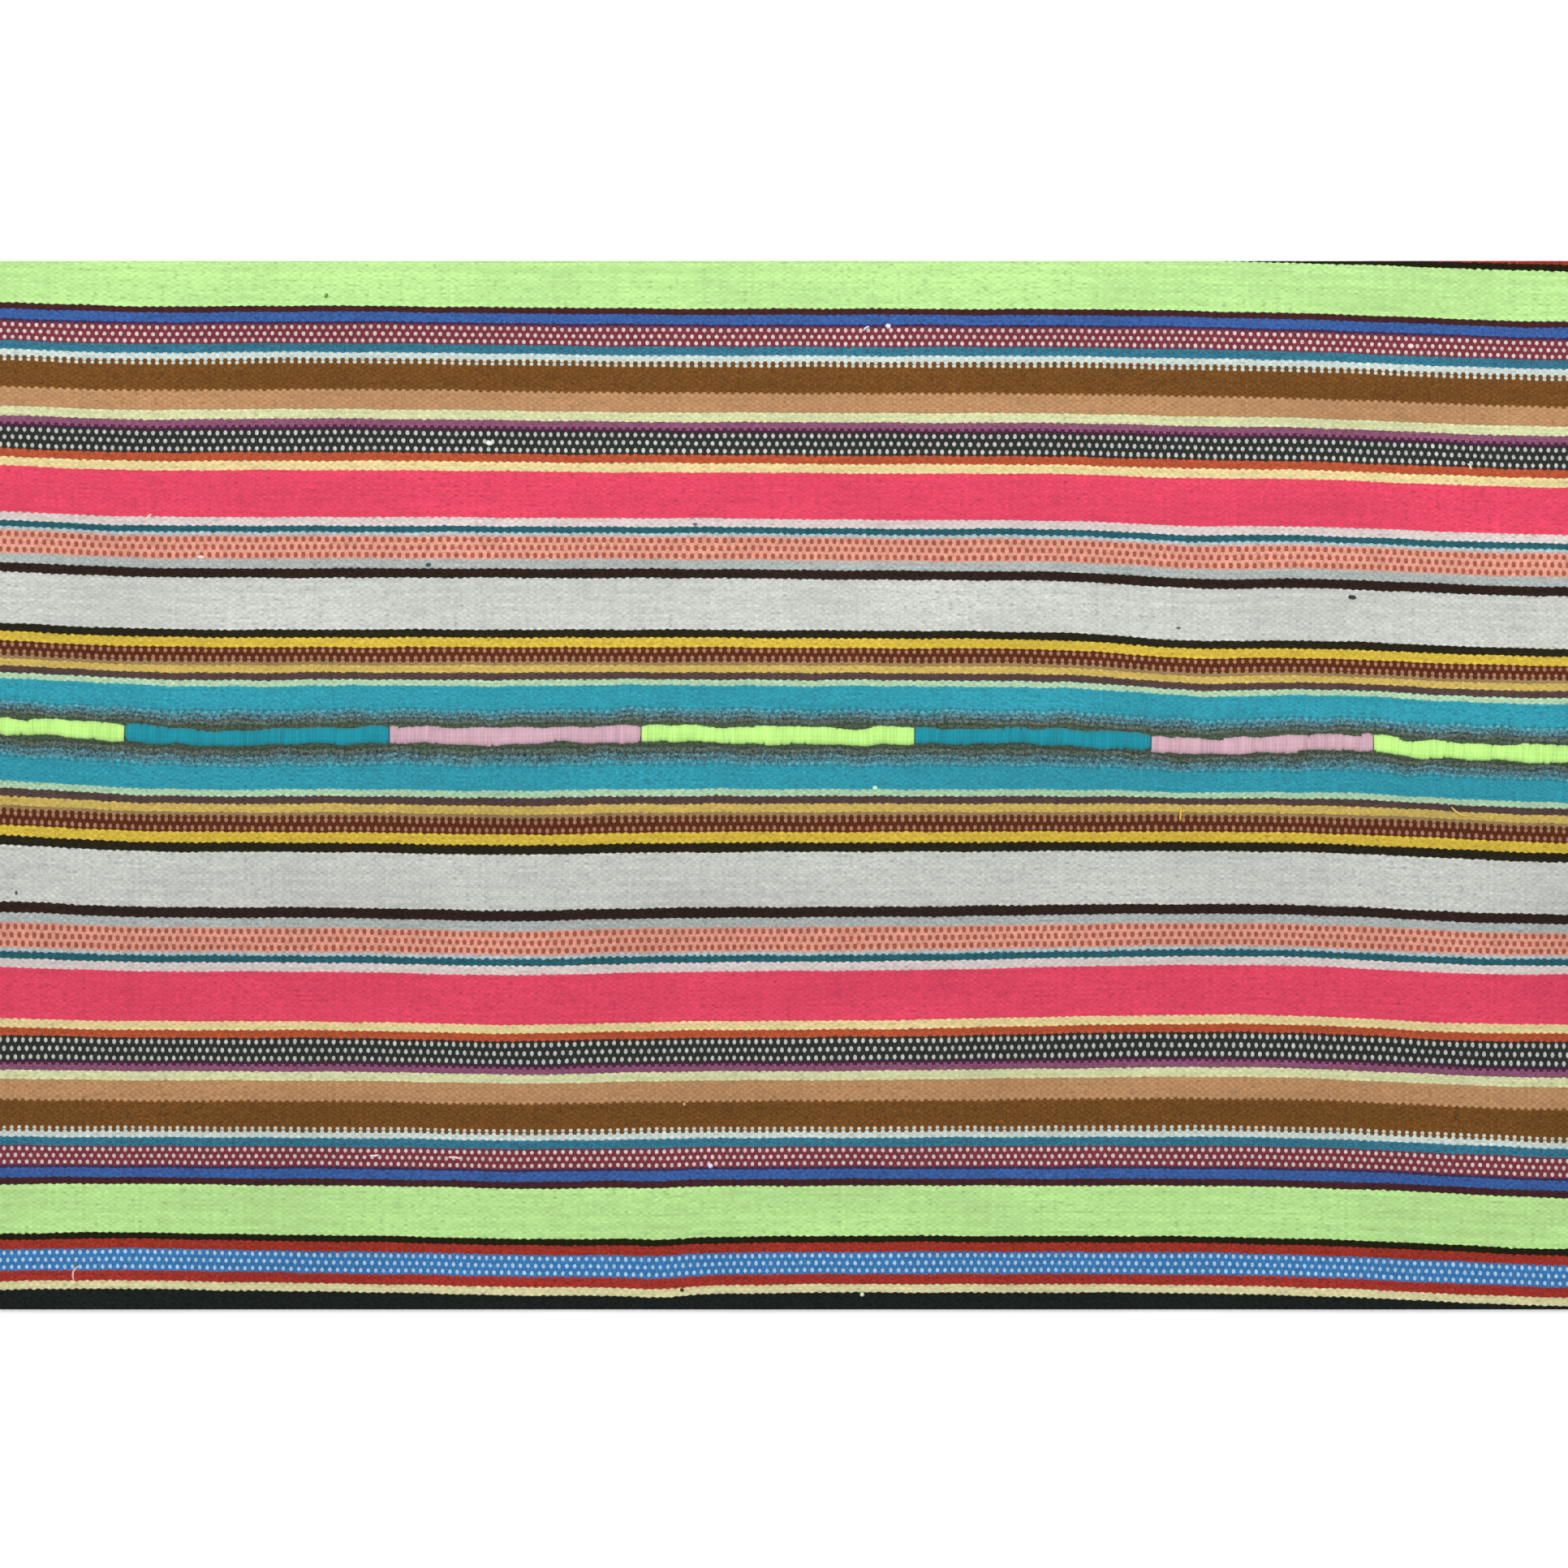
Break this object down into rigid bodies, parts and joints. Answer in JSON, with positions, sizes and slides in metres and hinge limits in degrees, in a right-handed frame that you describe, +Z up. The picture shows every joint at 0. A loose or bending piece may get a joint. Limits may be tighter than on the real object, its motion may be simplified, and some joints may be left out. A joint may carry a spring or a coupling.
{
  "type": "striped flatweave rug length",
  "caption": "Flat cut length of warp-faced striped wool flatweave: loom strips joined edge to edge by a raised hand-sewn seam in changing yarn colours, to lie on a floor.",
  "frame": {"origin": "on the resting face, under the middle of the cut length", "axes": "+X along the warp and the stripes, +Y across the stripes towards the strip that is at the top of the picture, +Z up out of the cloth's face"},
  "size_m": [0.7246, 0.4834, 0.004],
  "materials": {
    "striped_wool": "warp-faced plain weave of dyed wool in narrow stripes",
    "lime_yarn": "lime green wool sewing yarn, soft and matte",
    "teal_yarn": "teal wool sewing yarn, soft and matte",
    "pink_yarn": "pale pink wool sewing yarn, soft and matte"
  },
  "bodies": {
    "root": {"panel_far": "striped_wool", "panel_near": "striped_wool", "seam_lime_1": "lime_yarn", "seam_teal_1": "teal_yarn", "seam_pink_1": "pink_yarn", "seam_lime_2": "lime_yarn", "seam_teal_2": "teal_yarn", "seam_pink_2": "pink_yarn", "seam_lime_3": "lime_yarn"}
  },
  "joints": []
}
